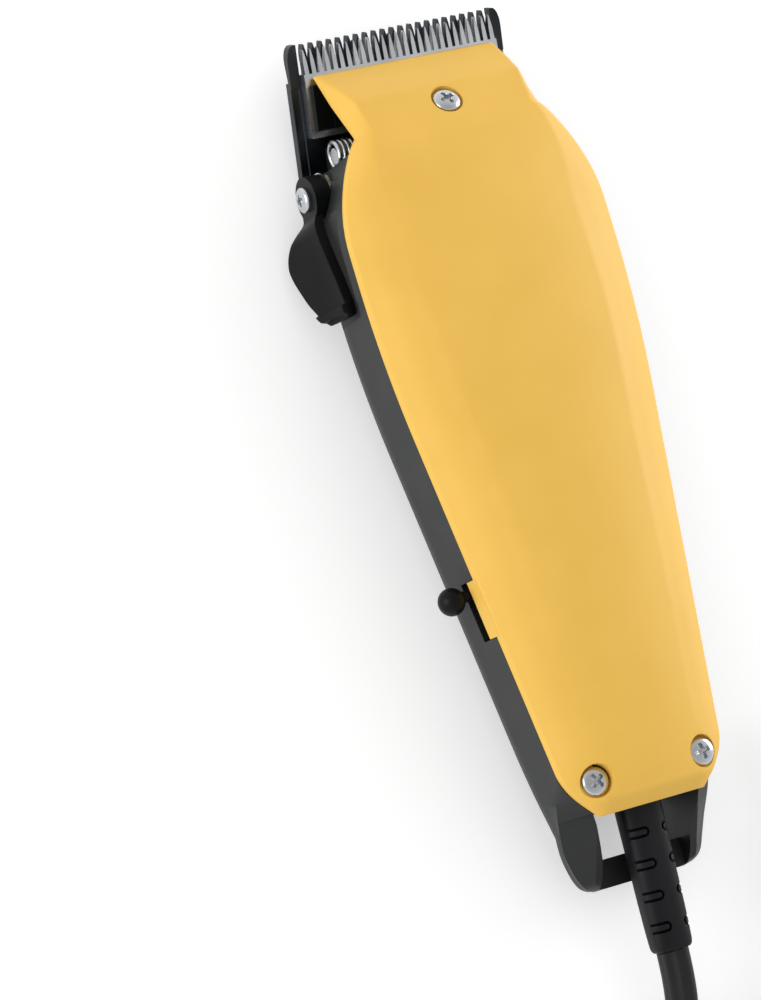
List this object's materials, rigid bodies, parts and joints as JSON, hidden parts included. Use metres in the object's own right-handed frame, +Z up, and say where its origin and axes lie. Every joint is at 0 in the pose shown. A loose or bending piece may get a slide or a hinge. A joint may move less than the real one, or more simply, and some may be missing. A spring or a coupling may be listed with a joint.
{
  "type": "corded hair clipper",
  "caption": "Corded electric hair clipper with a raised yellow cover, dark housing, toothed blades, taper lever, slide switch, hanging loop, strain relief and a tied cord with a plug.",
  "frame": {"origin": "centre of the flat underside, on the surface that the clipper rests on", "axes": "+Y forward to the blades, +Z up through the yellow cover, +X to the clipper's right, away from the lever"},
  "size_m": [0.0998, 0.2807, 0.0305],
  "materials": {
    "yellow_plastic": "satin moulded plastic",
    "dark_plastic": "fine matte moulded plastic",
    "black_plastic": "satin moulded plastic",
    "black_rubber": "soft moulded PVC",
    "chrome_screws": "bright nickel plate",
    "blade_steel": "ground carbon steel",
    "spring_steel": "drawn steel wire",
    "core_iron": "stamped laminations",
    "brass": "turned brass",
    "copper": "enamelled copper wire",
    "yellow_tape": "polyester tape"
  },
  "bodies": {
    "clipper": {"top_cover": "yellow_plastic", "bottom_housing": "dark_plastic", "front_cover_screw": "chrome_screws", "rear_cover_screws": "chrome_screws", "fixed_blade": "blade_steel", "blade_screws": "chrome_screws", "switch_body": "dark_plastic", "switch_terminals": "brass", "strain_relief": "black_rubber", "cord_clamp": "black_plastic", "cord_clamp_screws": "chrome_screws", "lead_wires": "black_rubber", "wire_joints": "yellow_tape", "stator_core": "core_iron", "core_screws": "chrome_screws", "coil_bobbin": "black_plastic", "coil_winding": "copper", "coil_tape": "yellow_tape", "leaf_spring": "spring_steel", "leaf_clamp_plate": "blade_steel", "leaf_clamp_screws": "chrome_screws", "left_arm_spring": "spring_steel", "right_arm_spring": "spring_steel", "spring_seat": "black_plastic", "power_nut": "brass", "cord_run": "black_rubber", "cord_coil": "black_rubber", "cord_tail": "black_rubber", "cord_tie": "black_rubber", "plug_body": "black_rubber", "plug_pins": "chrome_screws"},
    "lever": {"taper_lever": "black_plastic", "taper_cam": "black_plastic", "taper_lever_screw": "chrome_screws", "lever_washer": "chrome_screws"},
    "carriage": {"tension_spring": "spring_steel", "spring_rod": "spring_steel", "taper_slider": "black_plastic"},
    "cutter": {"moving_blade": "blade_steel", "blade_drive_guide": "black_plastic"},
    "arm": {"armature_arm": "blade_steel", "armature_core": "core_iron", "drive_finger": "black_plastic", "leaf_rivets": "chrome_screws"},
    "switch": {"switch_knob": "black_plastic", "switch_slider": "black_plastic"},
    "adjuster": {"power_screw": "chrome_screws"}
  },
  "joints": [
    {"name": "lever_tilt", "type": "hinge", "parent": "clipper", "child": "lever", "pos_m": [-0.0245, 0.0566, 0.0095], "axis": [1, 0, 0], "range_deg": [0, 65]},
    {"name": "taper_slide", "type": "slide", "parent": "clipper", "child": "carriage", "axis": [0, -0.9367, -0.3502], "range_m": [0, 0.00161]},
    {"name": "arm_swing", "type": "hinge", "parent": "clipper", "child": "arm", "pos_m": [-0.0057, -0.0435, 0.014], "axis": [0, 0, 1], "range_deg": [-0.6, 0.6], "stiffness_Nm_per_rad": 6, "deforming": ["leaf_spring", "left_arm_spring", "right_arm_spring"]},
    {"name": "blade_stroke", "type": "slide", "parent": "carriage", "child": "cutter", "axis": [1, 0, 0], "range_m": [-0.0013, 0.0013]},
    {"name": "switch_slide", "type": "slide", "parent": "clipper", "child": "switch", "axis": [0.1205, -0.9927, 0], "range_m": [0, 0.0074]},
    {"name": "power_screw_turn", "type": "hinge", "parent": "clipper", "child": "adjuster", "pos_m": [0.02, 0.0475, 0.013], "axis": [1, 0, 0], "range_deg": [-180, 180]}
  ],
  "couplings": [
    {"joint": "lever_tilt", "follows": "taper_slide", "rad_per_m": 704.2},
    {"joint": "blade_stroke", "follows": "arm_swing", "m_per_rad": -0.11457}
  ]
}
